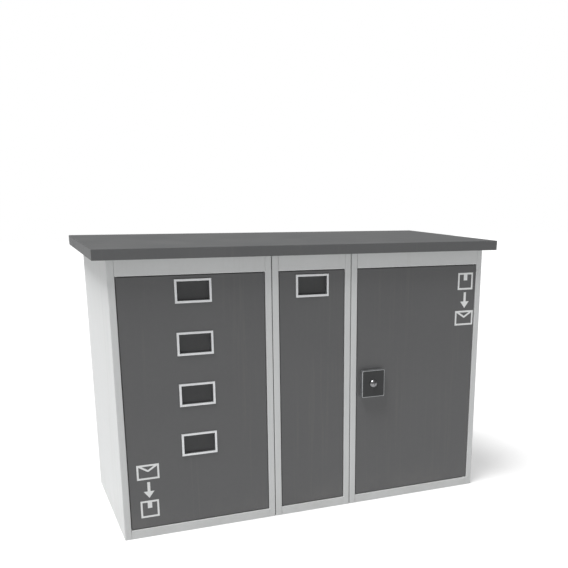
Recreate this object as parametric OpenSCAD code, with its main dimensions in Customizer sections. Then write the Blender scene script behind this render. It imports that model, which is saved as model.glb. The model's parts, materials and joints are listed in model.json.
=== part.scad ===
// Cluster mailbox unit: three sheet-steel cabinets under one pitched roof tray.
// Letter cabinet (four slots), bulk-mail cabinet (one slot) and parcel cabinet (one lockable door).
// Millimetres, +Z up. The front faces -Y. The origin is on the ground at the middle of the footprint.

/* [Cabinets] */
// Width of the letter cabinet, on the left
letter_w = 702; // [560:1:900]
// Width of the bulk-mail cabinet, in the middle
bulk_w = 382; // [300:1:500]
// Width of the parcel cabinet, on the right
parcel_w = 710; // [500:1:900]
// Gap between two cabinets, filled by rubber seals
cabinet_gap = 3; // [2:0.5:6]
// Depth of the cabinets
body_d = 790; // [500:1:1000]
// Height of the roof's seat at the front of the cabinets
carcass_h = 1261; // [1250:1:1600]
// Thickness of the folded sheet steel
sheet = 2; // [1.5:0.5:2.5]

/* [Frame] */
// Width of the stiles beside each front and rear opening
stile_w = 30; // [24:1:45]
// Depth of the folded returns round the openings
return_d = 18; // [16:1:24]
// Width of the ledge behind a panel or door
ledge_w = 15; // [10:1:20]
// Height of the bottom rails
rail_h = 41; // [30:1:60]
// Top edge of the front openings
front_open_top = 1149; // [1140:1:1200]
// Outer radius of the bends at the cabinet corners
corner_r = 4; // [3:0.5:6]
// Outer radius of the bends round the openings
fold_r = 3; // [2.5:0.5:4]

/* [Roof] */
// Slope of the roof, rising to the rear, in degrees
roof_pitch = 1.7; // [0:0.1:4]
// Overhang past the outer cabinet sides
roof_side = 58; // [40:1:100]
// Overhang past the front and past the rear
roof_over = 36; // [36:1:80]
// Height of the folded fascia
fascia_h = 45; // [30:1:80]
// Width of the fascia's inward return
fascia_return = 12; // [8:1:20]
// Radius of the welded roof studs
stud_r = 3; // [2:0.5:4]
// Length of the roof studs below the sheet
stud_len = 12; // [11:1:20]

/* [Panels and doors] */
// Gap between a panel or door and its frame
panel_gap = 3; // [2.5:0.5:5]
// How far panel faces sit behind the frame's face
panel_recess = 3; // [1:0.5:5]
// Width of the folded lip on the back of panels and doors
pan_lip = 13; // [10:1:20]
// Play between a closed door and the ledge behind it
door_play = 0.5; // [0.3:0.1:1]

/* [Letter slots] */
// Distance between two slots, and between two shelves
slot_pitch = 225; // [200:1:260]
// Height of the top slot's middle
slot_top_z = 1080; // [1050:1:1085]
// Distance from a slot's middle down to its shelf
shelf_drop = 155; // [120:1:170]
// Width of the slot frame
frame_w = 160; // [140:1:230]
// Height of the slot frame
frame_h = 102; // [90:1:120]
// Width of the slot frame's bars
frame_bar = 10; // [8:1:18]
// How far the slot frame stands proud of the panel
frame_proud = 4; // [2:0.5:6]
// Depth from the panel's face to the flap's stop
flap_inset = 10; // [8:0.5:14]
// Thickness of the flap
flap_t = 2.5; // [2:0.5:4]
// Radius of the flap's hinge pin
flap_pin_r = 1.5; // [1.5:0.25:2.5]

/* [Hinges] */
// Radius of the door hinge pins
hinge_pin_r = 4; // [3:0.5:5]
// Distance of a hinge pin from its door's edge
hinge_inset = 12; // [11:1:16]
// Height of the bosses that take the pins
boss_h = 14; // [10:1:20]
// Side of the square bosses
boss_w = 18; // [14:1:20]
// Radial running clearance of pins and spindles
running_fit = 0.05; // [0.02:0.01:0.1]

/* [Parcel lock] */
// Width of the lock case
lock_case_w = 118; // [90:1:140]
// Height of the lock case
lock_case_h = 130; // [100:1:160]
// Depth of the lock case
lock_case_d = 24; // [18:1:26]
// Distance from the door's free edge to the middle of the lock
lock_inset = 78; // [72:1:110]
// Height of the middle of the lock
lock_z = 603; // [400:1:900]
// Radius of the knob
knob_r = 19; // [15:1:21]
// How far the knob stands out from the case
knob_d = 13; // [12:0.5:15]
// Radius of the knob's domed end
dome_r = 22; // [22:1:60]
// Radius of the spindle
spindle_r = 6; // [5:0.5:8]

/* [Rear doors] */
// Distance from a rear door's free edge to its cam lock
cam_lock_inset = 30; // [26:1:40]
// Radius of the cam lock's body
cam_lock_r = 9; // [8:0.5:11]
// Radius of the cam lock's plug
plug_r = 6.5; // [5.5:0.5:8]
// Height of the rails between the rear doors
shelf_rail_h = 12; // [10:1:20]

/* [Fixings] */
// Radius of the floor anchor holes
anchor_r = 6; // [5:0.5:8]
// Distance of the anchor holes from the cabinet sides
anchor_side = 70; // [60:1:100]
// Distance of the anchor holes from the front and rear
anchor_front = 80; // [60:1:120]
// Radius of the bolts that join the cabinets
joint_bolt_r = 4; // [3:0.5:5]
// Radius of the panel screws
screw_r = 2.5; // [2:0.5:3]

/* [Hidden] */
$fn = 48;
eps = 1;
letter_count = 4;                     // letter compartments, as many as the numbered nodes
body_w = letter_w + bulk_w + parcel_w + 2 * cabinet_gap;
seat_gap = 0.2;                       // between the ceilings and what they lie on
press_gap = 0.05;                     // round a pin that is held fast
ledge_y = return_d;                   // front of the ledges
ledge_back = ledge_y + sheet;
pan_d = return_d - panel_recess;      // depth of a fixed panel
door_d = pan_d - door_play;           // depth of a door
hinge_x = stile_w + panel_gap + hinge_inset;
hinge_back = 0.5;                     // a hinge pin's middle lies this far behind the pan's middle
hinge_y = panel_recess + pan_d / 2 + hinge_back;
seat_clear = 1;                       // between a rail's face and the block that holds a pin
boss_sink = fold_r / 3;               // how deep in a door's skin its blocks begin, inside the bend
boss_trim = 2;                        // taken off a door's block, on the side away from its edge
pin_rim = 3;                          // of the collar that carries a door
corner_swing = 20;
swing_clear = hinge_x + corner_swing; // rail ledges stay clear of a door's turning corner
rear_open_top = slot_top_z - shelf_drop + slot_pitch - shelf_rail_h;
bulk_x = letter_w + cabinet_gap;
parcel_x = bulk_x + bulk_w + cabinet_gap;
collar_clear = 0.3;
collar_wall = 2.2;
frame_round = 1.5;                    // radius of the frame's front edges
stop_w = 2.5;                         // rim in front of the flap's edges
mouth_w = frame_w - 2 * frame_bar;
mouth_h = frame_h - 2 * frame_bar;
inner_w = mouth_w + 2 * stop_w;
inner_h = mouth_h + 2 * stop_w;
collar_w = inner_w + 2 * collar_wall;
collar_h = inner_h + 2 * collar_wall;
collar_d = 25;
barrel_r = 3.5;
flap_gap = 0.3;
flap_back = 0.5;                      // the pin's middle lies this far behind the flap's face,
                                      // so that the flap's weight closes it
flap_pin_y = panel_recess + flap_inset + flap_gap + flap_back;
flap_top_gap = 1.5;
flap_pin_z = inner_h / 2 - barrel_r - flap_top_gap;
barrel_clear = 1;                     // below the barrel, where the stop is cut away for it
flap_side_gap = 0.5;
flap_bottom_gap = 1;
cam_t = 3.5;
cam_gap = 1.5;
cam_w = 14;
cam_reach = 11;                       // how far a cam reaches past the ledge's edge
cam_lock_play = 0.2;                  // round a cam lock in its door
cam_rim = 3;                          // of the cam lock's flange, past its body
cam_rim_t = 2;
cam_nut_r = cam_lock_r + 4;
cam_nut_t = 4;
plug_proud = 0.5;
key_slot_w = 1.6;
key_slot_h = 8;
key_slot_deep = 4;
parcel_cam_t = 4;
parcel_cam_w = 22;
face_t = 3;
face_border = 2.5;
face_play = 0.2;                      // round the lock face in its recess
case_r = 7;
case_round = 1.5;                     // radius of the case's front edges
face_r = 5;
spindle_clear = 1;                    // between the spindle and a hole that it doesn't run in
knob_lift = 0.5;                      // between the knob and the case
knob_overlap = 1;                     // how far the spindle runs into the knob
flute_count = 12;
flute_r = 2.4;
flute_out = 1.2;                      // from the knob's rim out to the middle of a flute
keyway_w = 2;
keyway_h = 10;
keyway_deep = 5;
spindle_end = 9;
nut_t = 7;
nut_r = 10;
boss_play = 0.1;                      // between a door's boss and the collar that carries it
bolt_ys = [110, body_d - 110];
bolt_zs = [150, 1050];
bolt_head_r = 7.5;
bolt_head_h = 5.5;
bolt_play = 0.3;                      // round a bolt in the cabinet sides
bolt_spare = 1;                       // how far the shank runs into its head and nut
seal_w = 20;
seal_inset = 6;
shelf_flange = 15;                    // height of the flanges along the shelves' sides
roof_nut_r = 6;
roof_nut_h = 5;
stud_play = 0.5;                      // round a stud in the ceiling
stud_side = 90;
stud_xs = [stud_side, letter_w - stud_side, bulk_x + bulk_w / 2, parcel_x + stud_side, body_w - stud_side];
stud_ys = [120, body_d - 120];
service_top = slot_top_z - shelf_drop - (letter_count - 1) * slot_pitch - shelf_rail_h;
screw_head_r = 4.5;
screw_head_h = 3;
screw_spare = 1;                      // how far the screw's thread runs into its head

FIXED_NODES = ["letter_left_side", "letter_right_side", "letter_floor", "letter_ceiling",
    "bulk_left_side", "bulk_right_side", "bulk_floor", "bulk_ceiling",
    "parcel_left_side", "parcel_right_side", "parcel_floor", "parcel_ceiling",
    "letter_front_panel", "bulk_front_panel", "letter_service_panel", "parcel_rear_panel",
    "shelf_1", "shelf_2", "shelf_3", "shelf_4", "roof", "roof_nuts",
    "cabinet_bolts", "joint_seals", "panel_screws",
    "slot_frame_1", "slot_frame_2", "slot_frame_3", "slot_frame_4", "slot_frame_bulk",
    "flap_pins", "rear_hinge_pins", "parcel_hinge_pins"];
MOVING_NODES = ["flap_1", "flap_2", "flap_3", "flap_4", "flap_bulk",
    "parcel_door", "lock_case", "lock_face", "lock_knob", "lock_cam", "lock_nut",
    "rear_door_1", "rear_door_2", "rear_door_3", "rear_door_4", "rear_door_bulk",
    "rear_lock_1", "rear_lock_2", "rear_lock_3", "rear_lock_4", "rear_lock_bulk",
    "rear_cam_1", "rear_cam_2", "rear_cam_3", "rear_cam_4", "rear_cam_bulk"];

// Heights that repeat
function slot_z(i) = slot_top_z - (i - 1) * slot_pitch;
function shelf_top(i) = slot_z(i) - shelf_drop;
function door_low(i) = shelf_top(i) + panel_gap;
function door_high(i) = shelf_top(i) + slot_pitch - shelf_rail_h - panel_gap;
function roof_z(y) = carcass_h + y * tan(roof_pitch);
// Where panel screws sit along a ledge from low to high
function screw_rows(low, high, count) = [for (k = [0:count - 1]) low + (high - low) * (k + 0.5) / count];

/* ---- placing ---- */
module at_cabinet(x) translate([x - body_w / 2, -body_d / 2, 0]) children();
module at_letter() at_cabinet(0) children();
module at_bulk() at_cabinet(bulk_x) children();
module at_parcel() at_cabinet(parcel_x) children();
// The rear is drawn as a front and turned round
module from_rear() translate([0, body_d, 0]) mirror([0, 1, 0]) children();
module from_right(w) translate([w, 0, 0]) mirror([1, 0, 0]) children();
// Draws a y-z outline and stretches it from x0 to x1
module along_x(x0, x1) translate([x0, 0, 0]) rotate([90, 0, 90]) linear_extrude(x1 - x0) children();
// Draws a round bar along Y from y0 to y1
module bar_y(r, y0, y1) translate([0, y0, 0]) rotate([-90, 0, 0]) cylinder(r = r, h = y1 - y0);
module hex_y(r, y0, y1) translate([0, y0, 0]) rotate([-90, 0, 0]) cylinder(r = r, h = y1 - y0, $fn = 6);

/* ---- blocks with rounded front edges ---- */
// Outline as deep as x and as wide as y, with rounded corners at x = 0
module soft_outline(deep, wide, r) {
    translate([r, 0]) square([deep - r, wide]);
    translate([0, r]) square([r, wide - 2 * r]);
    for (y = [r, wide - r]) translate([r, y]) circle(r);
}
// Block whose front face at y0 has four rounded edges
module soft_block(x0, x1, z0, z1, y0, deep, r) intersection() {
    along_x(x0, x1) translate([y0, z0]) soft_outline(deep, z1 - z0, r);
    translate([x0, y0, z0]) linear_extrude(z1 - z0) mirror([1, -1]) soft_outline(deep, x1 - x0, r);
}

/* ---- folded sheet outlines ---- */
// A quarter bend whose outer corner would be at the origin
module bend(r) difference() {
    intersection() {
        translate([r, r]) circle(r);
        square(r);
    }
    translate([r, r]) circle(r - sheet);
}
// Plan of one front corner of a side: bend, stile face, bend and return
module corner_plan() {
    bend(corner_r);
    translate([corner_r, 0]) square([stile_w - corner_r - fold_r, sheet]);
    translate([stile_w, 0]) mirror([1, 0]) bend(fold_r);
    translate([stile_w - sheet, fold_r]) square([sheet, ledge_back - fold_r]);
}
module side_plan() {
    corner_plan();
    translate([0, body_d]) mirror([0, 1]) corner_plan();
    translate([0, corner_r]) square([sheet, body_d - 2 * corner_r]);
}
// Section of a bottom rail: face, bend and return, standing on the ground
module low_rail_section() {
    square([sheet, rail_h - fold_r]);
    translate([0, rail_h]) mirror([0, 1]) bend(fold_r);
    translate([fold_r, rail_h - sheet]) square([return_d - fold_r, sheet]);
}
// Section of a top rail whose opening edge is at z
module high_rail_section(z, top) {
    translate([0, z + fold_r]) square([sheet, top - z - fold_r]);
    translate([0, z]) bend(fold_r);
    translate([fold_r, z]) square([return_d - fold_r, sheet]);
}

/* ---- cabinet carcasses ---- */
// Side at x = 0, with front and rear ledges given as [low, high], and rows of screws through them;
// a joined side has bolt holes for the cabinet beside it
module side(front_ledge, rear_ledge, front_screws, rear_screws, joined = true) {
    difference() {
        union() {
            intersection() {
                linear_extrude(roof_z(body_d)) side_plan();
                along_x(-eps, stile_w + eps) polygon([[0, 0], [body_d, 0],
                    [body_d, roof_z(body_d) - sheet - seat_gap], [0, roof_z(0) - sheet - seat_gap]]);
            }
            side_ledge(front_ledge);
            from_rear() side_ledge(rear_ledge);
        }
        ledge_holes(front_screws);
        from_rear() ledge_holes(rear_screws);
        if (joined) for (y = bolt_ys, z = bolt_zs)
            translate([-eps, y, z]) rotate([0, 90, 0])
                cylinder(r = joint_bolt_r + bolt_play, h = sheet + 2 * eps);
    }
}
module side_ledge(range) if (range[1] > range[0])
    translate([stile_w, ledge_y, range[0]]) cube([ledge_w, sheet, range[1] - range[0]]);
module ledge_holes(rows) for (z = rows)
    translate([stile_w + panel_gap + pan_lip / 2, 0, z])
        bar_y(screw_r + running_fit, ledge_y - eps, ledge_back + eps);
// Ledge along a rail, kept clear of the side ledges or of a turning door corner
module rail_ledge(w, z, x0, x1) translate([x0, ledge_y, z]) cube([x1 - x0, sheet, ledge_w + sheet]);
// Block that holds a hinge pin under or over a rail
module pin_seat(z) difference() {
    translate([hinge_x - boss_w / 2, sheet + seat_clear, z])
        cube([boss_w, return_d - sheet - seat_clear, boss_h - sheet]);
    translate([hinge_x, hinge_y, z - eps]) cylinder(r = hinge_pin_r + press_gap, h = boss_h + 2 * eps);
}
module pin_hole(z) translate([hinge_x, hinge_y, z - eps])
    cylinder(r = hinge_pin_r + press_gap, h = sheet + 2 * eps);

// hinge_front and hinge_rear: "none", "left" or "right" as seen along +Y
module floor_tray(w, hinge_front, hinge_rear) {
    difference() {
        union() {
            for (rear = [false, true]) turned(rear) {
                along_x(stile_w, w - stile_w) low_rail_section();
                translate([stile_w, sheet, 0]) cube([w - 2 * stile_w, ledge_back - sheet, sheet]);
            }
            translate([sheet, ledge_back, 0]) cube([w - 2 * sheet, body_d - 2 * ledge_back, sheet]);
            low_ledge(w, hinge_front);
            from_rear() low_ledge(w, hinge_rear);
        }
        for (x = [anchor_side, w - anchor_side], y = [anchor_front, body_d - anchor_front])
            translate([x, y, -eps]) cylinder(r = anchor_r, h = sheet + 2 * eps);
        low_pin_hole(w, hinge_front);
        from_rear() low_pin_hole(w, hinge_rear);
    }
    low_pin_seat(w, hinge_front);
    from_rear() low_pin_seat(w, hinge_rear);
}
module turned(rear) if (rear) from_rear() children(); else children();
module hinge_side(w, hinge) {
    if (hinge == "left") children();
    if (hinge == "right") from_right(w) children();
}
function ledge_from(hinge) = hinge == "left" ? swing_clear : stile_w + ledge_w;
function ledge_to(w, hinge) = w - (hinge == "right" ? swing_clear : stile_w + ledge_w);
module low_ledge(w, hinge) rail_ledge(w, rail_h - sheet, ledge_from(hinge), ledge_to(w, hinge));
module low_pin_hole(w, hinge) hinge_side(w, hinge) pin_hole(rail_h - sheet);
module low_pin_seat(w, hinge) hinge_side(w, hinge) pin_seat(rail_h - boss_h);

// Ceiling plate under the roof, with the top rails folded down from it
module ceiling_tray(w, hinge_front, hinge_rear, rear_edge, stud_x) {
    difference() {
        union() {
            along_x(0, w) polygon([[0, roof_z(0)], [body_d, roof_z(body_d)],
                [body_d, roof_z(body_d) - sheet], [0, roof_z(0) - sheet]]);
            along_x(stile_w, w - stile_w) high_rail_section(front_open_top, roof_z(0) - sheet / 2);
            from_rear() along_x(stile_w, w - stile_w)
                high_rail_section(rear_edge, roof_z(body_d) - sheet / 2);
            high_ledge(w, hinge_front, front_open_top);
            from_rear() high_ledge(w, hinge_rear, rear_edge);
        }
        high_pin_hole(w, hinge_front, front_open_top);
        from_rear() high_pin_hole(w, hinge_rear, rear_edge);
        for (x = stud_x, y = stud_ys) translate([x, y, roof_z(y) - 3 * sheet])
            cylinder(r = stud_r + stud_play, h = 6 * sheet);
    }
    high_pin_seat(w, hinge_front, front_open_top);
    from_rear() high_pin_seat(w, hinge_rear, rear_edge);
}
module high_ledge(w, hinge, z) rail_ledge(w, z - ledge_w, ledge_from(hinge), ledge_to(w, hinge));
module high_pin_hole(w, hinge, z) hinge_side(w, hinge) pin_hole(z);
module high_pin_seat(w, hinge, z) hinge_side(w, hinge) pin_seat(z + sheet);

module letter_left_side() color("gainsboro") at_letter()
    side([rail_h, front_open_top], [rail_h, service_top], letter_screw_rows, service_screw_rows, false);
module letter_right_side() color("gainsboro") at_letter() from_right(letter_w)
    side([rail_h, front_open_top], [rail_h, rear_open_top], letter_screw_rows, service_screw_rows);
module bulk_left_side() color("gainsboro") at_bulk()
    side([rail_h, front_open_top], [0, 0], letter_screw_rows, []);
module bulk_right_side() color("gainsboro") at_bulk() from_right(bulk_w)
    side([rail_h, front_open_top], [rail_h, rear_open_top], letter_screw_rows, []);
module parcel_left_side() color("gainsboro") at_parcel()
    side([rail_h, front_open_top], [rail_h, rear_open_top], [], parcel_screw_rows);
module parcel_right_side() color("gainsboro") at_parcel() from_right(parcel_w)
    side([0, 0], [rail_h, rear_open_top], [], parcel_screw_rows, false);

module letter_floor() color("gainsboro") at_letter() floor_tray(letter_w, "none", "none");
module bulk_floor() color("gainsboro") at_bulk() floor_tray(bulk_w, "none", "left");
module parcel_floor() color("gainsboro") at_parcel() floor_tray(parcel_w, "right", "none");

module letter_ceiling() color("gainsboro") at_letter()
    ceiling_tray(letter_w, "none", "left", rear_open_top, [stud_xs[0], stud_xs[1]]);
module bulk_ceiling() color("gainsboro") at_bulk()
    ceiling_tray(bulk_w, "none", "left", rear_open_top, [stud_xs[2] - bulk_x]);
module parcel_ceiling() color("gainsboro") at_parcel()
    ceiling_tray(parcel_w, "right", "none", rear_open_top, [stud_xs[3] - parcel_x, stud_xs[4] - parcel_x]);

/* ---- shelves ---- */
// Shelf i carries compartment i; its rear edge is folded into the rail between two doors
module shelf(i) color("gainsboro") at_letter() {
    top = shelf_top(i);
    translate([sheet, ledge_back, top - sheet])
        cube([letter_w - 2 * sheet, body_d - 2 * ledge_back, sheet]);
    for (x = [sheet, letter_w - 2 * sheet]) translate([x, ledge_back, top - shelf_flange])
        cube([sheet, body_d - 2 * ledge_back, shelf_flange - sheet]);
    from_rear() {
        translate([swing_clear, ledge_y, top - sheet])
            cube([letter_w - swing_clear - stile_w - ledge_w, sheet, sheet]);
        difference() {
            along_x(stile_w, letter_w - stile_w) shelf_rail_section(top);
            pin_hole(top - sheet);
            pin_hole(top - shelf_rail_h);
        }
    }
}
module shelf_rail_section(top) {
    translate([0, top]) mirror([0, 1]) bend(fold_r);
    translate([0, top - shelf_rail_h]) bend(fold_r);
    translate([0, top - shelf_rail_h + fold_r]) square([sheet, shelf_rail_h - 2 * fold_r]);
    for (z = [top - sheet, top - shelf_rail_h]) translate([fold_r, z]) square([return_d - fold_r, sheet]);
}

/* ---- roof ---- */
// The overhang is measured at the fascia's outermost edges, front and rear
roof_w = body_w + 2 * roof_side;
roof_len = (body_d - (fascia_h - 2 * sheet) * sin(roof_pitch)) / cos(roof_pitch) + 2 * roof_over;
module roof_frame() at_cabinet(0)
    translate([0, 0, carcass_h + seat_gap]) rotate([roof_pitch, 0, 0]) children();
module roof() color("dimgray") roof_frame() {
    translate([-roof_side, -roof_over, sheet]) rotate([-90, 0, 0]) difference() {
        soft_block(0, roof_w, 0, roof_len, 0, fascia_h, fold_r);
        translate([sheet, sheet, sheet])
            cube([roof_w - 2 * sheet, fascia_h - 2 * sheet, roof_len - 2 * sheet]);
        translate([fascia_return, sheet, fascia_return])
            cube([roof_w - 2 * fascia_return, fascia_h, roof_len - 2 * fascia_return]);
    }
    for (x = stud_xs, y = stud_ys) translate([x, y / cos(roof_pitch), -stud_len])
        cylinder(r = stud_r, h = stud_len + sheet / 2);
}
// Nuts on the roof studs, under the ceilings
module roof_nuts() color("silver") roof_frame() for (x = stud_xs, y = stud_ys)
    translate([x, y / cos(roof_pitch), -sheet - 2 * seat_gap - roof_nut_h]) difference() {
        cylinder(r = roof_nut_r, h = roof_nut_h, $fn = 6);
        translate([0, 0, -eps]) cylinder(r = stud_r + press_gap, h = roof_nut_h + 2 * eps);
    }

/* ---- panels and doors ---- */
// Folded pan: face, four sides and a lip round its open back
module pan(x0, x1, z0, z1, deep) difference() {
    soft_block(x0, x1, z0, z1, panel_recess, deep, fold_r);
    translate([x0 + sheet, panel_recess + sheet, z0 + sheet])
        cube([x1 - x0 - 2 * sheet, deep - 2 * sheet, z1 - z0 - 2 * sheet]);
    translate([x0 + pan_lip, panel_recess + deep - 2 * sheet, z0 + pan_lip])
        cube([x1 - x0 - 2 * pan_lip, 3 * sheet, z1 - z0 - 2 * pan_lip]);
}
module pan_screw_holes(w, rows) for (side = [0, 1], z = rows) mirrored_x(w, side)
    translate([stile_w + panel_gap + pan_lip / 2, 0, z])
        bar_y(screw_r + press_gap, ledge_y - 2 * sheet, ledge_y + eps);
module mirrored_x(w, side) if (side == 1) from_right(w) children(); else children();
pan_x0 = stile_w + panel_gap;
letter_screw_rows = screw_rows(rail_h, front_open_top, 4);
parcel_screw_rows = screw_rows(rail_h, rear_open_top, 4);
service_screw_rows = screw_rows(rail_h, service_top, 2);

module front_panel(w, slots) difference() {
    pan(pan_x0, w - pan_x0, rail_h + panel_gap, front_open_top - panel_gap, pan_d);
    for (z = slots) translate([w / 2 - collar_w / 2 - collar_clear, 0, z - collar_h / 2 - collar_clear])
        cube([collar_w + 2 * collar_clear, panel_recess + 2 * sheet, collar_h + 2 * collar_clear]);
    pan_screw_holes(w, letter_screw_rows);
}
module letter_front_panel() color("dimgray") at_letter()
    front_panel(letter_w, [for (i = [1:letter_count]) slot_z(i)]);
module bulk_front_panel() color("dimgray") at_bulk() front_panel(bulk_w, [slot_top_z]);
module letter_service_panel() color("gainsboro") at_letter() from_rear() difference() {
    pan(pan_x0, letter_w - pan_x0, rail_h + panel_gap, service_top - panel_gap, pan_d);
    pan_screw_holes(letter_w, service_screw_rows);
}
module parcel_rear_panel() color("gainsboro") at_parcel() from_rear() difference() {
    pan(pan_x0, parcel_w - pan_x0, rail_h + panel_gap, rear_open_top - panel_gap, pan_d);
    pan_screw_holes(parcel_w, parcel_screw_rows);
}
// Door hinged at its left edge, with bosses for the pins at top and bottom
module door(w, low, high) difference() {
    union() {
        pan(pan_x0, w - pan_x0, low, high, door_d);
        for (z = [low + boss_sink, high - boss_h])
            translate([hinge_x - boss_w / 2 + boss_trim, panel_recess + boss_sink, z])
                cube([boss_w - boss_trim, door_d - boss_sink, boss_h - boss_sink]);
    }
    for (z = [low - eps, high - boss_h - eps]) translate([hinge_x, hinge_y, z])
        cylinder(r = hinge_pin_r + running_fit, h = boss_h + 2 * eps);
}
module parcel_door() color("dimgray") at_parcel() difference() {
    from_right(parcel_w) door(parcel_w, rail_h + panel_gap, front_open_top - panel_gap);
    translate([lock_x, 0, lock_z]) bar_y(spindle_r + 2 * spindle_clear, 0, return_d);
}
module rear_leaf(w, low, high) from_rear() difference() {
    door(w, low, high);
    translate([w - pan_x0 - cam_lock_inset, 0, (low + high) / 2])
        bar_y(cam_lock_r + cam_lock_play, 0, return_d);
}
module rear_door(i) color("gainsboro") at_letter() rear_leaf(letter_w, door_low(i), door_high(i));
module rear_door_bulk() color("gainsboro") at_bulk()
    rear_leaf(bulk_w, rail_h + panel_gap, rear_open_top - panel_gap);

/* ---- hinge pins ---- */
// Pin through a rail from low to high, with a collar at collar_z that carries the door above
module hinge_pin(low, high, collar_z) translate([hinge_x, hinge_y, 0]) {
    translate([0, 0, low]) cylinder(r = hinge_pin_r, h = high - low);
    if (collar_z > 0) translate([0, 0, collar_z])
        cylinder(r = hinge_pin_r + pin_rim, h = panel_gap - boss_play);
}
pin_grip = boss_h - sheet;            // how far a pin enters a boss or seat
module low_hinge_pin(top) hinge_pin(top - boss_h, top + panel_gap + pin_grip, top);
module high_hinge_pin(edge) hinge_pin(edge - panel_gap - pin_grip, edge + boss_h, 0);
module rear_hinge_pins() color("silver") {
    at_letter() from_rear() {
        for (i = [1:letter_count - 1]) hinge_pin(shelf_top(i) - shelf_rail_h - panel_gap - pin_grip,
            shelf_top(i) + panel_gap + pin_grip, shelf_top(i));
        hinge_pin(service_top, shelf_top(letter_count) + panel_gap + pin_grip, shelf_top(letter_count));
        high_hinge_pin(rear_open_top);
    }
    at_bulk() from_rear() {
        low_hinge_pin(rail_h);
        high_hinge_pin(rear_open_top);
    }
}
module parcel_hinge_pins() color("silver") at_parcel() from_right(parcel_w) {
    low_hinge_pin(rail_h);
    high_hinge_pin(front_open_top);
}

/* ---- letter slots ---- */
module in_slot(w, z) translate([w / 2, 0, z]) children();
module block(w, h, y0, y1) translate([-w / 2, y0, -h / 2]) cube([w, y1 - y0, h]);
module slot_frame(w, z) in_slot(w, z) difference() {
    union() {
        soft_block(-frame_w / 2, frame_w / 2, -frame_h / 2, frame_h / 2,
            panel_recess - frame_proud, frame_proud, frame_round);
        block(collar_w, collar_h, panel_recess, panel_recess + collar_d);
    }
    block(mouth_w, mouth_h, panel_recess - frame_proud - eps, panel_recess + collar_d);
    block(inner_w, inner_h, panel_recess + flap_inset, panel_recess + collar_d + eps);
    translate([-inner_w / 2, flap_pin_y - barrel_r - flap_gap, flap_pin_z - barrel_r - barrel_clear])
        cube([inner_w, collar_d, inner_h / 2 - flap_pin_z + barrel_r + barrel_clear]);
    translate([-collar_w / 2 - eps, flap_pin_y, flap_pin_z]) rotate([0, 90, 0])
        cylinder(r = flap_pin_r + press_gap, h = collar_w + 2 * eps);
}
module flap(w, z) in_slot(w, z) difference() {
    flap_w = inner_w - 2 * flap_side_gap;
    low = -inner_h / 2 + flap_bottom_gap;
    union() {
        translate([-flap_w / 2, flap_pin_y - flap_back, low]) cube([flap_w, flap_t, flap_pin_z - low]);
        translate([-flap_w / 2, flap_pin_y, flap_pin_z]) rotate([0, 90, 0])
            cylinder(r = barrel_r, h = flap_w);
    }
    translate([-flap_w / 2 - eps, flap_pin_y, flap_pin_z]) rotate([0, 90, 0])
        cylinder(r = flap_pin_r + running_fit, h = flap_w + 2 * eps);
}
module flap_pin(w, z) in_slot(w, z) translate([-collar_w / 2, flap_pin_y, flap_pin_z]) rotate([0, 90, 0])
    cylinder(r = flap_pin_r, h = collar_w);
module letter_slot_frame(i) color("whitesmoke") at_letter() slot_frame(letter_w, slot_z(i));
module slot_frame_bulk() color("whitesmoke") at_bulk() slot_frame(bulk_w, slot_top_z);
module letter_flap(i) color("black") at_letter() flap(letter_w, slot_z(i));
module flap_bulk() color("black") at_bulk() flap(bulk_w, slot_top_z);
module flap_pins() color("silver") {
    at_letter() for (i = [1:letter_count]) flap_pin(letter_w, slot_z(i));
    at_bulk() flap_pin(bulk_w, slot_top_z);
}

/* ---- parcel lock ---- */
lock_x = pan_x0 + lock_inset;
case_front = panel_recess - lock_case_d;
cam_front = ledge_back + cam_gap;
parcel_cam_len = lock_x - stile_w - ledge_w + cam_reach;
cam_len = cam_lock_inset + panel_gap - ledge_w + cam_reach;
module at_lock() at_parcel() translate([lock_x, 0, lock_z]) children();
module rounded(w, h, r) {
    square([w - 2 * r, h], center = true);
    square([w, h - 2 * r], center = true);
    for (x = [-1, 1], z = [-1, 1]) translate([x * (w / 2 - r), z * (h / 2 - r)]) circle(r);
}
// Stretches an x-z outline forwards, from y to y - depth
module forwards(y, depth) translate([0, y, 0]) rotate([90, 0, 0]) linear_extrude(depth) children();
module lock_case() color("lightgray") at_lock() difference() {
    intersection() {
        forwards(panel_recess, lock_case_d) rounded(lock_case_w, lock_case_h, case_r);
        soft_block(-lock_case_w / 2, lock_case_w / 2, -lock_case_h / 2, lock_case_h / 2,
            case_front, lock_case_d, case_round);
    }
    forwards(case_front + face_t, face_t + eps)
        rounded(lock_case_w - 2 * face_border, lock_case_h - 2 * face_border, face_r);
    bar_y(spindle_r + running_fit, case_front - eps, panel_recess + eps);
}
module lock_face() color("dimgray") at_lock() difference() {
    forwards(case_front + face_t, face_t) rounded(lock_case_w - 2 * (face_border + face_play),
        lock_case_h - 2 * (face_border + face_play), face_r - face_play);
    bar_y(spindle_r + spindle_clear, case_front - eps, case_front + 2 * face_t);
}
// Knob and spindle in one piece: domed end, flutes round the rim and a keyway
module lock_knob() color("dimgray") at_lock() difference() {
    union() {
        bar_y(spindle_r, case_front - knob_overlap, cam_front + parcel_cam_t + spindle_end);
        translate([0, case_front - knob_lift, 0]) rotate([90, 0, 0]) rotate_extrude() knob_outline();
    }
    for (k = [0:flute_count - 1]) rotate([0, (k + 0.5) * 360 / flute_count, 0])
        translate([knob_r + flute_out, 0, 0]) bar_y(flute_r, case_front - knob_d - eps, case_front);
    translate([-keyway_w / 2, case_front - knob_d - eps, -keyway_h / 2])
        cube([keyway_w, keyway_deep, keyway_h]);
}
// Half section of the knob, from its axis out to its rim
module knob_outline() intersection() {
    square([knob_r, knob_d - knob_lift]);
    translate([0, knob_d - knob_lift - dome_r]) circle(dome_r);
}
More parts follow.
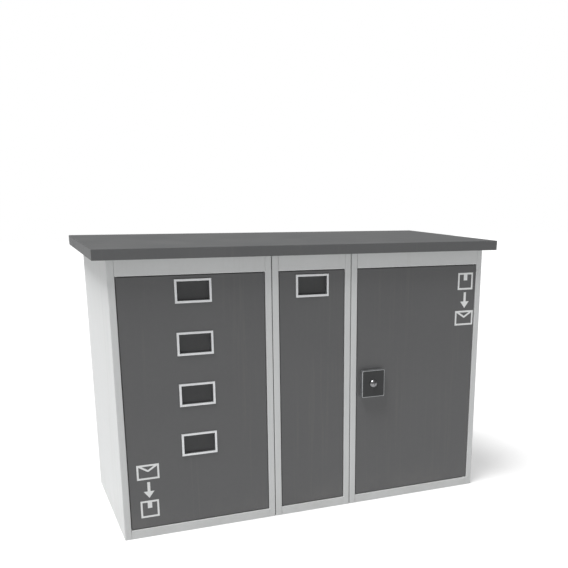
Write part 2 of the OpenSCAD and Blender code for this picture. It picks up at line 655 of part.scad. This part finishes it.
// Cam behind the door, hanging when unlocked; it turns to the free edge to lock
module lock_cam() color("silver") at_lock() difference() {
    union() {
        bar_y(parcel_cam_w / 2, cam_front, cam_front + parcel_cam_t);
        translate([-parcel_cam_w / 2, cam_front, -parcel_cam_len])
            cube([parcel_cam_w, parcel_cam_t, parcel_cam_len]);
    }
    bar_y(spindle_r + press_gap, cam_front - eps, cam_front + parcel_cam_t + eps);
}
module lock_nut() color("silver") at_lock() difference() {
    hex_y(nut_r, cam_front + parcel_cam_t, cam_front + parcel_cam_t + nut_t);
    bar_y(spindle_r + press_gap, cam_front, cam_front + parcel_cam_t + nut_t + eps);
}

/* ---- rear cam locks ---- */
module at_cam_lock(w, z) from_rear() translate([w - pan_x0 - cam_lock_inset, 0, z]) children();
module cam_lock_body(w, z) at_cam_lock(w, z) difference() {
    union() {
        bar_y(cam_lock_r, panel_recess - cam_rim_t, ledge_y);
        bar_y(cam_lock_r + cam_rim, panel_recess - cam_rim_t, panel_recess);
        hex_y(cam_nut_r, panel_recess + sheet, panel_recess + sheet + cam_nut_t);
    }
    bar_y(plug_r + running_fit, panel_recess - cam_rim_t - eps, ledge_y + eps);
}
// Key plug with its cam, hanging when unlocked
module cam_plug(w, z) at_cam_lock(w, z) difference() {
    union() {
        bar_y(plug_r, panel_recess - cam_rim_t - plug_proud, cam_front);
        bar_y(cam_w / 2, cam_front, cam_front + cam_t);
        translate([-cam_w / 2, cam_front, -cam_len]) cube([cam_w, cam_t, cam_len]);
    }
    translate([-key_slot_w / 2, 0, -key_slot_h / 2])
        cube([key_slot_w, panel_recess + key_slot_deep, key_slot_h]);
}
bulk_lock_z = (rail_h + rear_open_top) / 2;
module rear_lock(i) color("silver") at_letter() cam_lock_body(letter_w, (door_low(i) + door_high(i)) / 2);
module rear_lock_bulk() color("silver") at_bulk() cam_lock_body(bulk_w, bulk_lock_z);
module rear_cam(i) color("goldenrod") at_letter() cam_plug(letter_w, (door_low(i) + door_high(i)) / 2);
module rear_cam_bulk() color("goldenrod") at_bulk() cam_plug(bulk_w, bulk_lock_z);

/* ---- fixings and seals ---- */
// Bolts that join neighbouring cabinets: head, shank and nut
module cabinet_bolts() color("silver") for (x = [letter_w, bulk_x + bulk_w], y = bolt_ys, z = bolt_zs)
    at_cabinet(x) translate([0, y, z]) rotate([0, 90, 0]) {
        translate([0, 0, -sheet - bolt_head_h]) cylinder(r = bolt_head_r, h = bolt_head_h, $fn = 6);
        translate([0, 0, -sheet - bolt_spare])
            cylinder(r = joint_bolt_r, h = 2 * (sheet + bolt_spare) + cabinet_gap);
        translate([0, 0, cabinet_gap + sheet]) cylinder(r = bolt_head_r, h = bolt_head_h, $fn = 6);
    }
// Rubber strips between the cabinets, behind the front and rear corners
module joint_seals() color("black") for (x = [letter_w, bulk_x + bulk_w], rear = [false, true])
    at_cabinet(x) turned(rear) translate([0, seal_inset, sheet])
        cube([cabinet_gap, seal_w, carcass_h - 3 * sheet]);
// Screws through the ledges into the lips of the fixed panels
module panel_screw() {
    bar_y(screw_r, ledge_y - sheet, ledge_back + screw_spare);
    bar_y(screw_head_r, ledge_back, ledge_back + screw_head_h);
}
module screw_columns(w, rows) for (side = [0, 1], z = rows) mirrored_x(w, side)
    translate([stile_w + panel_gap + pan_lip / 2, 0, z]) panel_screw();
module panel_screws() color("silver") {
    at_letter() screw_columns(letter_w, letter_screw_rows);
    at_bulk() screw_columns(bulk_w, letter_screw_rows);
    at_letter() from_rear() screw_columns(letter_w, service_screw_rows);
    at_parcel() from_rear() screw_columns(parcel_w, parcel_screw_rows);
}

letter_left_side();
letter_right_side();
letter_floor();
letter_ceiling();
bulk_left_side();
bulk_right_side();
bulk_floor();
bulk_ceiling();
parcel_left_side();
parcel_right_side();
parcel_floor();
parcel_ceiling();
letter_front_panel();
bulk_front_panel();
letter_service_panel();
parcel_rear_panel();
shelf(1);  // shelf_1
shelf(2);  // shelf_2
shelf(3);  // shelf_3
shelf(4);  // shelf_4
roof();
roof_nuts();
cabinet_bolts();
joint_seals();
panel_screws();
letter_slot_frame(1);  // slot_frame_1
letter_slot_frame(2);  // slot_frame_2
letter_slot_frame(3);  // slot_frame_3
letter_slot_frame(4);  // slot_frame_4
slot_frame_bulk();
flap_pins();
rear_hinge_pins();
parcel_hinge_pins();
letter_flap(1);  // flap_1
letter_flap(2);  // flap_2
letter_flap(3);  // flap_3
letter_flap(4);  // flap_4
flap_bulk();
parcel_door();
lock_case();
lock_face();
lock_knob();
lock_cam();
lock_nut();
rear_door(1);  // rear_door_1
rear_door(2);  // rear_door_2
rear_door(3);  // rear_door_3
rear_door(4);  // rear_door_4
rear_door_bulk();
rear_lock(1);  // rear_lock_1
rear_lock(2);  // rear_lock_2
rear_lock(3);  // rear_lock_3
rear_lock(4);  // rear_lock_4
rear_lock_bulk();
rear_cam(1);  // rear_cam_1
rear_cam(2);  // rear_cam_2
rear_cam(3);  // rear_cam_3
rear_cam(4);  // rear_cam_4
rear_cam_bulk();
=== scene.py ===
import json
import math

import bpy
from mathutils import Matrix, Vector


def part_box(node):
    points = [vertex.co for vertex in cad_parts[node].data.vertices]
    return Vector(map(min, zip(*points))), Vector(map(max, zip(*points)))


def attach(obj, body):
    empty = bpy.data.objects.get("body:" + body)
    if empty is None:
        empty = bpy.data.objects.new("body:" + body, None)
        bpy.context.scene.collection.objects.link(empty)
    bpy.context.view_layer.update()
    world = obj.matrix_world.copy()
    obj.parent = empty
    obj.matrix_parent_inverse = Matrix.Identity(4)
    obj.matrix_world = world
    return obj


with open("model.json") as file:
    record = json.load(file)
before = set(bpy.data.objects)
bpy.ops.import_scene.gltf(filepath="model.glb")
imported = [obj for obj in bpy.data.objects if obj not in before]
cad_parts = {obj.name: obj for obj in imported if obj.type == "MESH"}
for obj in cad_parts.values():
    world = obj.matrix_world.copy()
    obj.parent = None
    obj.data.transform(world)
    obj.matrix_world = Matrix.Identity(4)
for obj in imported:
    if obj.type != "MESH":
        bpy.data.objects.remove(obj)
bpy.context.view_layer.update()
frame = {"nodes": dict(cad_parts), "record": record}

MM = 0.001
scene = bpy.context.scene
scene.view_settings.view_transform = "Standard"
scene.view_settings.look = "None"


# ---------------------------------------------------------------- node wiring
def feed(tree, socket, value):
    """Links an input to the socket that feeds it, or gives it a plain value."""
    if isinstance(value, bpy.types.NodeSocket):
        tree.links.new(value, socket)
    else:
        socket.default_value = value


def add(tree, kind, sockets=None, **settings):
    """Adds one shader node; sockets holds plain values or the sockets that feed them."""
    made = tree.nodes.new(kind)
    for key, value in settings.items():
        setattr(made, key, value)
    for key, value in (sockets or {}).items():
        feed(tree, made.inputs[key], value)
    return made


def maths(tree, operation, first, second=0.0, third=0.0, clamp=False):
    """One sum; third is used by MULTIPLY_ADD alone."""
    operands = {0: first, 1: second, 2: third}
    return add(tree, "ShaderNodeMath", operands, operation=operation, use_clamp=clamp).outputs[0]


def smooth_step(tree, value, start, end, low=0.0, high=1.0):
    """Goes softly from low, at start, to high, at end."""
    limits = {"From Min": start, "From Max": end, "To Min": low, "To Max": high}
    made = add(tree, "ShaderNodeMapRange", {"Value": value, **limits}, interpolation_type="SMOOTHSTEP")
    return made.outputs["Result"]


def noise(tree, place, scale, detail=3.0, roughness=0.55):
    look = {"Scale": scale, "Detail": detail, "Roughness": roughness}
    return add(tree, "ShaderNodeTexNoise", {"Vector": place, **look}).outputs["Fac"]


def stretched(tree, place, scale):
    return add(tree, "ShaderNodeMapping", {"Vector": place, "Scale": scale}).outputs["Vector"]


def opaque(colour):
    """A plain colour gets its alpha; a socket stays as it is."""
    return colour if isinstance(colour, bpy.types.NodeSocket) else (*colour, 1.0)


def blend_colour(tree, amount, first, second):
    """From the first colour, at amount 0, to the second, at 1."""
    operands = {0: amount, 6: opaque(first), 7: opaque(second)}
    return add(tree, "ShaderNodeMix", operands, data_type="RGBA", clamp_factor=True).outputs[2]


def effect(name, inputs, outputs):
    """A shader node group with named inputs (and their defaults) and named outputs."""
    tree = bpy.data.node_groups.new(name, "ShaderNodeTree")
    for label, kind, default in inputs:
        socket = tree.interface.new_socket(label, in_out="INPUT", socket_type=kind)
        if default is not None:
            socket.default_value = default
    for label, kind in outputs:
        tree.interface.new_socket(label, in_out="OUTPUT", socket_type=kind)
    return tree, tree.nodes.new("NodeGroupInput"), tree.nodes.new("NodeGroupOutput")


def use(tree, group, **sockets):
    """Places a shared effect; a keyword's underscores stand for the spaces of an input's name."""
    values = {key.replace("_", " "): value for key, value in sockets.items()}
    return add(tree, "ShaderNodeGroup", values, node_tree=group).outputs


FLOAT, VECTOR = "NodeSocketFloat", "NodeSocketVector"


# ---------------------------------------------------------------- shared effects
def make_coating_texture():
    """Orange peel and fine grit of a baked powder coat, with slow gloss and tone changes."""
    tree, given, out = effect(
        "Coating Texture",
        [("Place", VECTOR, None), ("Grain Size", FLOAT, 1.6 * MM), ("Grit", FLOAT, 0.35)],
        [("Height", FLOAT), ("Gloss Change", FLOAT), ("Tone", FLOAT)],
    )
    place = given.outputs["Place"]
    per_metre = maths(tree, "DIVIDE", 1.0, given.outputs["Grain Size"])
    grit_per_metre = maths(tree, "MULTIPLY", per_metre, 3.7)
    peel = noise(tree, place, per_metre, detail=2.0, roughness=0.5)
    fine = noise(tree, place, grit_per_metre, detail=2.0, roughness=0.6)
    grit = maths(tree, "MULTIPLY", fine, given.outputs["Grit"])
    tree.links.new(maths(tree, "ADD", peel, grit), out.inputs["Height"])

    slow = noise(tree, place, scale=3.1, detail=4.0, roughness=0.6)
    mottle = noise(tree, place, scale=46.0, detail=3.0, roughness=0.6)
    slow_gloss = maths(tree, "SUBTRACT", slow, 0.5)
    gloss = maths(tree, "ADD", slow_gloss, maths(tree, "MULTIPLY", mottle, 0.25))
    tree.links.new(gloss, out.inputs["Gloss Change"])
    slow_tone = maths(tree, "MULTIPLY", slow, 0.65)
    tone = maths(tree, "ADD", slow_tone, maths(tree, "MULTIPLY", mottle, 0.35))
    tree.links.new(tone, out.inputs["Tone"])
    return tree


def make_outdoor_wear():
    """Dust on ledges and near the ground, rain tracks down the sheets, rubbed and softened edges."""
    tree, given, out = effect(
        "Outdoor Wear",
        [("Place", VECTOR, None), ("Edge Width", FLOAT, 1.2 * MM), ("Dust Height", FLOAT, 200 * MM)],
        [("Dust", FLOAT), ("Rain", FLOAT), ("Edge", FLOAT), ("Soft Normal", VECTOR)],
    )
    place = given.outputs["Place"]
    height = add(tree, "ShaderNodeSeparateXYZ", {"Vector": place}).outputs["Z"]
    facing = add(tree, "ShaderNodeNewGeometry").outputs["Normal"]
    up = add(tree, "ShaderNodeSeparateXYZ", {"Vector": facing}).outputs["Z"]

    cloudy = noise(tree, place, scale=5.0, detail=7.0, roughness=0.6)
    speckled = noise(tree, place, scale=260.0, detail=2.0, roughness=0.7)
    patches = maths(tree, "MULTIPLY", smooth_step(tree, cloudy, start=0.3, end=0.75), 0.7)
    specks = maths(tree, "MULTIPLY", smooth_step(tree, speckled, start=0.5, end=0.72), 0.3)
    splash = smooth_step(tree, height, start=0.0, end=given.outputs["Dust Height"], low=1.0, high=0.0)
    low_down = maths(tree, "MULTIPLY", splash, 0.8)
    on_ledges = maths(tree, "MULTIPLY", smooth_step(tree, up, start=0.55, end=0.95), 0.7)
    settled = maths(tree, "ADD", low_down, on_ledges, clamp=True)
    broken = maths(tree, "ADD", patches, specks)
    tree.links.new(maths(tree, "MULTIPLY", settled, broken, clamp=True), out.inputs["Dust"])

    narrow = noise(tree, stretched(tree, place, (62.0, 62.0, 1.6)), scale=1.0, detail=4.0, roughness=0.62)
    wide = noise(tree, stretched(tree, place, (9.0, 9.0, 0.8)), scale=1.0, detail=3.0, roughness=0.5)
    tracks = smooth_step(tree, narrow, start=0.5, end=0.72)
    where_wet = smooth_step(tree, wide, start=0.42, end=0.62)
    rain = maths(tree, "MULTIPLY", tracks, where_wet)
    upright = maths(tree, "SUBTRACT", 1.0, maths(tree, "ABSOLUTE", up))
    tree.links.new(maths(tree, "MULTIPLY", rain, upright, clamp=True), out.inputs["Rain"])

    bevel = add(tree, "ShaderNodeBevel", {"Radius": given.outputs["Edge Width"]}, samples=4)
    rounded = bevel.outputs["Normal"]
    agree = add(tree, "ShaderNodeVectorMath", {0: rounded, 1: facing}, operation="DOT_PRODUCT")
    bend = smooth_step(tree, agree.outputs["Value"], start=0.99, end=0.86)
    handled = noise(tree, place, scale=85.0, detail=4.0, roughness=0.7)
    rubbed = smooth_step(tree, handled, start=0.45, end=0.68)
    tree.links.new(maths(tree, "MULTIPLY", bend, rubbed, clamp=True), out.inputs["Edge"])
    tree.links.new(rounded, out.inputs["Soft Normal"])
    return tree


def make_brushed_grain():
    """Fine parallel lines left on bare metal, along one axis, and hand marks over them."""
    tree, given, out = effect(
        "Brushed Grain",
        [("Place", VECTOR, None), ("Line Stretch", VECTOR, (40.0, 1600.0, 1600.0))],
        [("Lines", FLOAT), ("Hand Marks", FLOAT)],
    )
    place = given.outputs["Place"]
    drawn = stretched(tree, place, given.outputs["Line Stretch"])
    tree.links.new(noise(tree, drawn, scale=1.0, detail=3.0, roughness=0.6), out.inputs["Lines"])
    marks = noise(tree, place, scale=55.0, detail=5.0, roughness=0.7)
    tree.links.new(smooth_step(tree, marks, start=0.4, end=0.75), out.inputs["Hand Marks"])
    return tree


coating_texture = make_coating_texture()
outdoor_wear = make_outdoor_wear()
brushed_grain = make_brushed_grain()


# ---------------------------------------------------------------- materials
DUST = (0.42, 0.40, 0.37)
DUST_ON_PLASTIC = (0.30, 0.29, 0.27)
# How far the slow changes move a surface's roughness, and how much dust and rain add to it
COAT_SWING = 0.16
METAL_SWING = 0.12
PLASTIC_SWING = 0.2
VINYL_SWING = 0.15
WEAR_DULLS = 0.22
# A rubbed edge is this much of white plus this many times the paint's lighter tone
WORN_BASE = 0.12
WORN_LIFT = 1.6
# How strongly hand marks darken metal, dust lies on plastic and rain marks vinyl
HANDLED = 0.25
PLASTIC_DUST = 0.35
VINYL_RAIN = 0.15


def new_material(name):
    material = bpy.data.materials.new(name)
    material.use_nodes = True
    tree = material.node_tree
    place = add(tree, "ShaderNodeTexCoord").outputs["Object"]
    return material, tree, tree.nodes["Principled BSDF"], place


def coat_tone(tree, coat, colour, lighter):
    """The coat's own colour, drifting slowly between two near tones."""
    return blend_colour(tree, smooth_step(tree, coat["Tone"], start=0.3, end=0.7), colour, lighter)


def masked(tree, mask, amount, under, over):
    """Lays a colour over another one where the mask is, as strongly as amount says."""
    return blend_colour(tree, maths(tree, "MULTIPLY", mask, amount), under, over)


def wire_surface(tree, shader, colour, roughness, height, wear, strength, depth):
    """Feeds the shader its colour, roughness and relief, over edges that look slightly rounded."""
    relief = {"Height": height, "Strength": strength, "Distance": depth, "Normal": wear["Soft Normal"]}
    bump = add(tree, "ShaderNodeBump", relief)
    tree.links.new(colour, shader.inputs["Base Color"])
    tree.links.new(roughness, shader.inputs["Roughness"])
    tree.links.new(bump.outputs["Normal"], shader.inputs["Normal"])


def powder_coat(name, colour, lighter, roughness, dust, rain, edge=0.4):
    """Baked powder coat: peel, slow tone and gloss changes, dust, rain tracks and rubbed edges."""
    material, tree, shader, place = new_material(name)
    coat = use(tree, coating_texture, Place=place)
    wear = use(tree, outdoor_wear, Place=place)
    paint = coat_tone(tree, coat, colour, lighter)
    washed = masked(tree, wear["Rain"], rain, paint, DUST)
    worn_colour = tuple(min(1.0, WORN_BASE + WORN_LIFT * channel) for channel in lighter)
    rubbed = masked(tree, wear["Edge"], edge, washed, worn_colour)
    dusted = masked(tree, wear["Dust"], dust, rubbed, DUST)
    gloss = maths(tree, "MULTIPLY_ADD", coat["Gloss Change"], COAT_SWING, roughness)
    dull = maths(tree, "MULTIPLY", maths(tree, "ADD", wear["Dust"], wear["Rain"]), WEAR_DULLS)
    weathered = maths(tree, "ADD", gloss, dull, clamp=True)
    shader.inputs["Specular IOR Level"].default_value = 0.45
    wire_surface(tree, shader, dusted, weathered, coat["Height"], wear, strength=0.6, depth=0.09 * MM)
    return material


def bare_metal(name, colour, darker, roughness, line_stretch, marks=0.12, line_depth=0.02 * MM):
    """Brushed or turned metal with hand marks."""
    material, tree, shader, place = new_material(name)
    grain = use(tree, brushed_grain, Place=place, Line_Stretch=line_stretch)
    wear = use(tree, outdoor_wear, Place=place, Edge_Width=0.8 * MM)
    shade = blend_colour(tree, grain["Lines"], darker, colour)
    handled = masked(tree, grain["Hand Marks"], HANDLED, shade, darker)
    lines = maths(tree, "MULTIPLY_ADD", grain["Lines"], METAL_SWING, roughness)
    smear = maths(tree, "MULTIPLY", grain["Hand Marks"], marks)
    smeared = maths(tree, "ADD", lines, smear, clamp=True)
    shader.inputs["Metallic"].default_value = 1.0
    wire_surface(tree, shader, handled, smeared, grain["Lines"], wear, strength=0.5, depth=line_depth)
    return material


def moulded(name, colour, lighter, roughness, grain_size=0.8 * MM, depth=0.05 * MM):
    """Fine-textured plastic or rubber, a little dusty."""
    material, tree, shader, place = new_material(name)
    coat = use(tree, coating_texture, Place=place, Grain_Size=grain_size, Grit=0.6)
    wear = use(tree, outdoor_wear, Place=place, Edge_Width=0.6 * MM)
    tone = coat_tone(tree, coat, colour, lighter)
    dusty = masked(tree, wear["Dust"], PLASTIC_DUST, tone, DUST_ON_PLASTIC)
    gloss = maths(tree, "MULTIPLY_ADD", coat["Gloss Change"], PLASTIC_SWING, roughness)
    wire_surface(tree, shader, dusty, gloss, coat["Height"], wear, strength=0.7, depth=depth)
    return material


def vinyl(name, colour, lighter, roughness):
    """Smooth sticker film with faint rain marks."""
    material, tree, shader, place = new_material(name)
    coat = use(tree, coating_texture, Place=place, Grain_Size=4 * MM, Grit=0.1)
    wear = use(tree, outdoor_wear, Place=place, Edge_Width=0.4 * MM)
    film = coat_tone(tree, coat, colour, lighter)
    grubby = masked(tree, wear["Rain"], VINYL_RAIN, film, DUST)
    gloss = maths(tree, "MULTIPLY_ADD", coat["Gloss Change"], VINYL_SWING, roughness)
    wire_surface(tree, shader, grubby, gloss, coat["Height"], wear, strength=0.4, depth=0.04 * MM)
    return material


# How a metal's lines are stretched: drawn along X, drawn along Z, or even all round
LINES_ALONG_X = (60.0, 1400.0, 1400.0)
LINES_ALONG_Z = (1200.0, 1200.0, 60.0)
TURNED = (900.0, 900.0, 900.0)
PLATED = (500.0, 500.0, 500.0)
POLISHED_DEPTH = 0.005 * MM

finishes = {
    "carcass_light_grey": powder_coat(
        "Light Grey Coat",
        colour=(0.555, 0.565, 0.565),
        lighter=(0.585, 0.595, 0.595),
        roughness=0.42,
        dust=0.3,
        rain=0.1,
        edge=0.25,
    ),
    "front_dark_grey": powder_coat(
        "Front Dark Grey Coat",
        colour=(0.096, 0.097, 0.099),
        lighter=(0.104, 0.105, 0.107),
        roughness=0.45,
        dust=0.16,
        rain=0.06,
    ),
    "roof_dark_grey": powder_coat(
        "Roof Dark Grey Coat",
        colour=(0.092, 0.094, 0.096),
        lighter=(0.100, 0.102, 0.104),
        roughness=0.5,
        dust=0.08,
        rain=0.06,
    ),
    "flap_dark_grey": powder_coat(
        "Flap Dark Coat",
        colour=(0.034, 0.035, 0.036),
        lighter=(0.042, 0.043, 0.044),
        roughness=0.5,
        dust=0.1,
        rain=0.0,
        edge=0.25,
    ),
    "slot_frame_metal": bare_metal(
        "Anodised Slot Frame",
        colour=(0.72, 0.73, 0.74),
        darker=(0.62, 0.63, 0.64),
        roughness=0.34,
        line_stretch=LINES_ALONG_X,
    ),
    "lock_case_metal": bare_metal(
        "Anodised Lock Box",
        colour=(0.50, 0.51, 0.52),
        darker=(0.42, 0.43, 0.44),
        roughness=0.38,
        line_stretch=LINES_ALONG_Z,
    ),
    "lock_bright_metal": bare_metal(
        "Polished Lock Metal",
        colour=(0.90, 0.90, 0.90),
        darker=(0.80, 0.80, 0.81),
        roughness=0.16,
        line_stretch=TURNED,
        marks=0.08,
        line_depth=POLISHED_DEPTH,
    ),
    "knob_dark_metal": bare_metal(
        "Black Nickel Knob",
        colour=(0.30, 0.30, 0.31),
        darker=(0.23, 0.23, 0.235),
        roughness=0.28,
        line_stretch=TURNED,
        marks=0.1,
        line_depth=POLISHED_DEPTH,
    ),
    "fixing_steel": bare_metal(
        "Zinc Plated Steel",
        colour=(0.66, 0.66, 0.64),
        darker=(0.50, 0.50, 0.49),
        roughness=0.36,
        line_stretch=PLATED,
        marks=0.2,
    ),
    "lock_face_dark": moulded(
        "Lock Face Plastic",
        colour=(0.018, 0.019, 0.020),
        lighter=(0.026, 0.027, 0.028),
        roughness=0.5,
    ),
    "seal_rubber": moulded(
        "Seal Rubber",
        colour=(0.018, 0.018, 0.018),
        lighter=(0.03, 0.03, 0.03),
        roughness=0.7,
        grain_size=1.2 * MM,
        depth=0.1 * MM,
    ),
}
white_vinyl = vinyl("White Vinyl", colour=(0.70, 0.71, 0.71), lighter=(0.76, 0.77, 0.77), roughness=0.38)

slot_of = {entry["node"]: entry["material_slot"] for entry in frame["record"]["subparts"]}
for node, piece in frame["nodes"].items():
    piece.data.materials.clear()
    piece.data.materials.append(finishes[slot_of[node]])


# ---------------------------------------------------------------- flat shapes
def nothing_selected():
    if bpy.context.mode != "OBJECT":
        bpy.ops.object.mode_set(mode="OBJECT")
    bpy.ops.object.select_all(action="DESELECT")


def only_selected(piece):
    nothing_selected()
    piece.select_set(True)
    bpy.context.view_layer.objects.active = piece


def stood_up(shape, width, height, x, z, turn):
    """Sizes a new flat shape, stands it upright facing the front, turns it and puts it at x, z."""
    shape.scale = (width, height, 1.0)
    bpy.ops.object.transform_apply(location=False, rotation=False, scale=True)
    shape.rotation_euler = (math.radians(90), 0.0, 0.0)
    bpy.ops.object.transform_apply(location=False, rotation=True, scale=False)
    shape.rotation_euler = (0.0, turn, 0.0)
    shape.location = (x, 0.0, z)
    bpy.ops.object.transform_apply(location=True, rotation=True, scale=False)
    return shape


def bar(width, height, x, z, turn=0.0):
    """A plain bar, turned about its middle."""
    nothing_selected()
    bpy.ops.mesh.primitive_plane_add(size=1.0)
    return stood_up(bpy.context.active_object, width, height, x, z, turn)


def point_down(width, height, z):
    """A triangle with its point at the bottom; it fills 0.87 of the width and 0.75 of the height."""
    nothing_selected()
    bpy.ops.mesh.primitive_circle_add(vertices=3, radius=0.5, fill_type="NGON")
    return stood_up(bpy.context.active_object, width, height, 0.0, z, math.pi)


def border(width, height, z, line):
    """A bar of which only the border is left."""
    shape = bar(width, height, 0.0, z)
    only_selected(shape)
    bpy.ops.object.mode_set(mode="EDIT")
    bpy.ops.mesh.select_all(action="SELECT")
    bpy.ops.mesh.inset(thickness=line, depth=0.0)
    bpy.ops.mesh.delete(type="FACE")
    bpy.ops.object.mode_set(mode="OBJECT")
    return shape


# ---------------------------------------------------------------- pictograms
# Each takes the height of its middle, its width and height, and the thickness of its lines.
def envelope(z, width, height, line):
    """An envelope's border and the two edges of its flap."""
    half_w = width / 2
    half_h = height / 2
    flap_drop = half_h * 0.9
    slope = math.atan2(flap_drop, half_w)
    length = math.hypot(half_w, flap_drop)
    shapes = [border(width, height, z, line)]
    for side in (-1, 1):
        middle = side * (half_w - line) / 2
        shapes.append(bar(length - line, line, middle, z + half_h * 0.5, -side * slope))
    return shapes


def carton(z, width, height, line):
    """A carton's border and the tape down from its top."""
    tape_w = width * 0.24
    tape_h = height * 0.42
    tape_z = z + height * 0.26
    return [border(width, height, z, line), bar(tape_w, tape_h, 0.0, tape_z)]


def arrow(z, width, height, line):
    """A stem whose foot reaches into the head below it."""
    head = 0.42 * height
    stem_w = line * 1.5
    stem_h = height - head * 0.7
    head_z = z - height / 2 + head * 0.67
    return [bar(stem_w, stem_h, 0.0, z + head * 0.35), point_down(width * 0.92, head * 1.33, head_z)]


# ---------------------------------------------------------------- sign stickers
VINYL_T = 0.25 * MM
# Pictogram, width and height; these and the gaps and lines are shares of the sign's size
ENVELOPE = (envelope, 0.40, 0.28)
ARROW = (arrow, 0.24, 0.30)
CARTON = (carton, 0.33, 0.32)
SIGN_GAP = 0.05
SIGN_LINE = 0.034


def apply_modifier(piece, kind, **settings):
    """Adds one modifier to a piece and applies it."""
    only_selected(piece)
    modifier = piece.modifiers.new(kind, kind)
    for key, value in settings.items():
        setattr(modifier, key, value)
    bpy.ops.object.modifier_apply(modifier=modifier.name)


def sign_shapes(pictograms, size):
    """Pictograms one under another, from the top down, about the sign's middle."""
    shapes = []
    top = size / 2
    for make, width, height in pictograms:
        shapes += make(top - height * size / 2, width * size, height * size, SIGN_LINE * size)
        top -= (height + SIGN_GAP) * size
    return shapes


def sticker(name, shapes, x, z, surface, body):
    """Flat shapes made one thin vinyl sticker whose back lies on the surface."""
    for shape in shapes:
        apply_modifier(shape, "SOLIDIFY", thickness=VINYL_T, offset=0.0)
    made = shapes[0]
    for other in shapes[1:]:
        apply_modifier(made, "BOOLEAN", operation="UNION", solver="EXACT", object=other)
        bpy.data.objects.remove(other)
    made.name = made.data.name = name
    made.location = (x, surface - VINYL_T / 2, z)
    bpy.ops.object.transform_apply(location=True, rotation=False, scale=False)
    made.data.materials.clear()
    made.data.materials.append(white_vinyl)
    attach(made, body)


# Each sign's size, and its middle's distance from the sheet's nearest side and end
LETTER_SIGN = 245 * MM
LETTER_SIGN_FROM_LEFT = 84 * MM
LETTER_SIGN_FROM_BOTTOM = 170 * MM
PARCEL_SIGN = 258 * MM
PARCEL_SIGN_FROM_RIGHT = 56 * MM
PARCEL_SIGN_FROM_TOP = 166 * MM

panel_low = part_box("letter_front_panel")[0]
door_low, door_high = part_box("parcel_door")
sticker(
    "letter_sign",
    sign_shapes((ENVELOPE, ARROW, CARTON), LETTER_SIGN),
    x=panel_low.x + LETTER_SIGN_FROM_LEFT,
    z=panel_low.z + LETTER_SIGN_FROM_BOTTOM,
    surface=panel_low.y,
    body="cabinet",
)
sticker(
    "parcel_sign",
    sign_shapes((CARTON, ARROW, ENVELOPE), PARCEL_SIGN),
    x=door_high.x - PARCEL_SIGN_FROM_RIGHT,
    z=door_high.z - PARCEL_SIGN_FROM_TOP,
    surface=door_low.y,
    body="parcel_door",
)

# ---------------------------------------------------------------- floor, light and camera
WHITE = (1.0, 1.0, 1.0, 1.0)
# Floor, in metres, and the light that it gives back on its own
FLOOR_SIZE = 60.0
FLOOR_GREYS = ((0.46, 0.46, 0.46), (0.48, 0.48, 0.48))
FLOOR_GLOW = 0.5
# Light from all round, and the key light's direction, angle across in degrees, and strength
AMBIENT = 0.2
KEY_TOWARDS = (-0.35, -0.11, 0.93)
KEY_SPREAD = 25.0
KEY_STRENGTH = 4.3
# Lens in millimetres, its shift as a share of the frame, the eye's place in metres, and its turns in degrees
LENS = 47.89
LENS_SHIFT = (-0.0697, 0.2072)
EYE = (-1.3145, -3.5543, 1.4248)
LOOKS_DOWN = 14.503
LOOKS_RIGHT = 23.362


def studio_floor():
    """A pale floor that glows a little, so that it stays nearly white around the shadow."""
    nothing_selected()
    bpy.ops.mesh.primitive_plane_add(size=FLOOR_SIZE, location=(0.0, 0.0, 0.0))
    floor = bpy.context.active_object
    floor.name = "studio_floor"
    material, tree, shader, place = new_material("Pale Floor")
    shade = blend_colour(tree, noise(tree, place, scale=1.5, detail=2.0), *FLOOR_GREYS)
    tree.links.new(shade, shader.inputs["Base Color"])
    shader.inputs["Emission Color"].default_value = WHITE
    shader.inputs["Emission Strength"].default_value = FLOOR_GLOW
    shader.inputs["Roughness"].default_value = 0.9
    shader.inputs["Specular IOR Level"].default_value = 0.0
    floor.data.materials.append(material)


def studio_surround():
    """Soft light from all round; the camera itself sees plain white behind the floor."""
    world = bpy.data.worlds.new("Studio")
    world.use_nodes = True
    scene.world = world
    tree = world.node_tree
    tree.nodes.clear()
    soft = add(tree, "ShaderNodeBackground", {"Color": WHITE, "Strength": AMBIENT})
    white = add(tree, "ShaderNodeBackground", {"Color": WHITE, "Strength": 1.0})
    seen = add(tree, "ShaderNodeLightPath").outputs["Is Camera Ray"]
    mixed = add(tree, "ShaderNodeMixShader", {0: seen, 1: soft.outputs[0], 2: white.outputs[0]})
    out = add(tree, "ShaderNodeOutputWorld", {"Surface": mixed.outputs[0]})
    out.is_active_output = True


def key_light():
    """One far, broad light from above the front left; its direction points from the mailbox to it."""
    lamp = bpy.data.lights.new("Key Light", "SUN")
    lamp.angle = math.radians(KEY_SPREAD)
    lamp.energy = KEY_STRENGTH
    holder = bpy.data.objects.new("Key Light", lamp)
    scene.collection.objects.link(holder)
    holder.rotation_euler = Vector(KEY_TOWARDS).to_track_quat("Z", "Y").to_euler()


def viewing_camera():
    """At eye level, to the front left, looking a little down."""
    camera = bpy.data.cameras.new("Viewing Camera")
    camera.sensor_width = 36.0
    camera.lens = LENS
    camera.shift_x, camera.shift_y = LENS_SHIFT
    camera.clip_start = 0.05
    camera.clip_end = 200.0
    holder = bpy.data.objects.new("Viewing Camera", camera)
    scene.collection.objects.link(holder)
    holder.location = EYE
    holder.rotation_euler = (math.radians(90.0 - LOOKS_DOWN), 0.0, math.radians(-LOOKS_RIGHT))
    scene.camera = holder


studio_floor()
studio_surround()
key_light()
viewing_camera()
